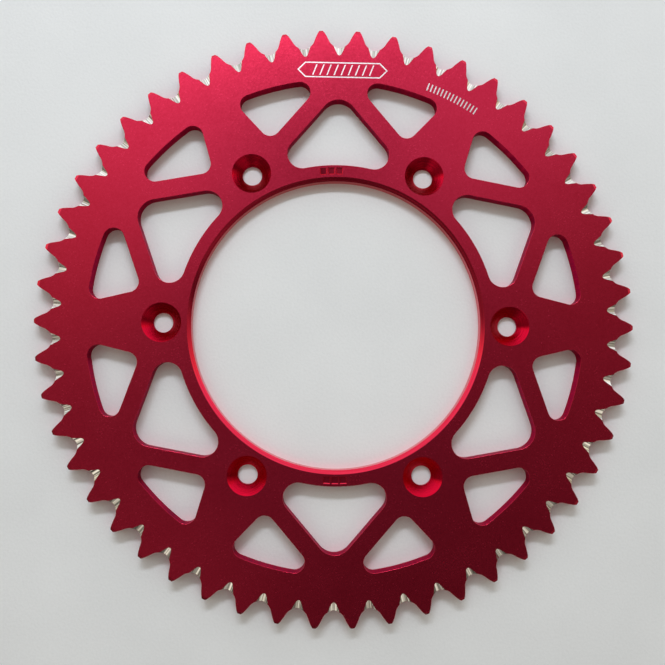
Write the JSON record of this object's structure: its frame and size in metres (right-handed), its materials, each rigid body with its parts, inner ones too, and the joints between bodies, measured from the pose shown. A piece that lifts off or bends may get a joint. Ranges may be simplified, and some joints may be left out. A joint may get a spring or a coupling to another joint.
{
  "type": "motorcycle rear sprocket",
  "caption": "Flat red aluminium chain wheel with a large bore, countersunk bolt holes and triangular windows, which drives a motorcycle's rear wheel",
  "frame": {"origin": "on the wheel's axis, on the flat back face that seats on the hub", "axes": "+Z out of the front face along the axis; +X through a bolt hole and a tooth tip; +Y through the middle of a large window and a tooth gap"},
  "size_m": [0.2584, 0.258, 0.0058],
  "materials": {
    "red_anodised": "satin red anodising over machined aluminium; the mud grooves in the tooth gaps are bare, bright cut metal"
  },
  "bodies": {
    "root": {"sprocket": "red_anodised"}
  },
  "joints": []
}
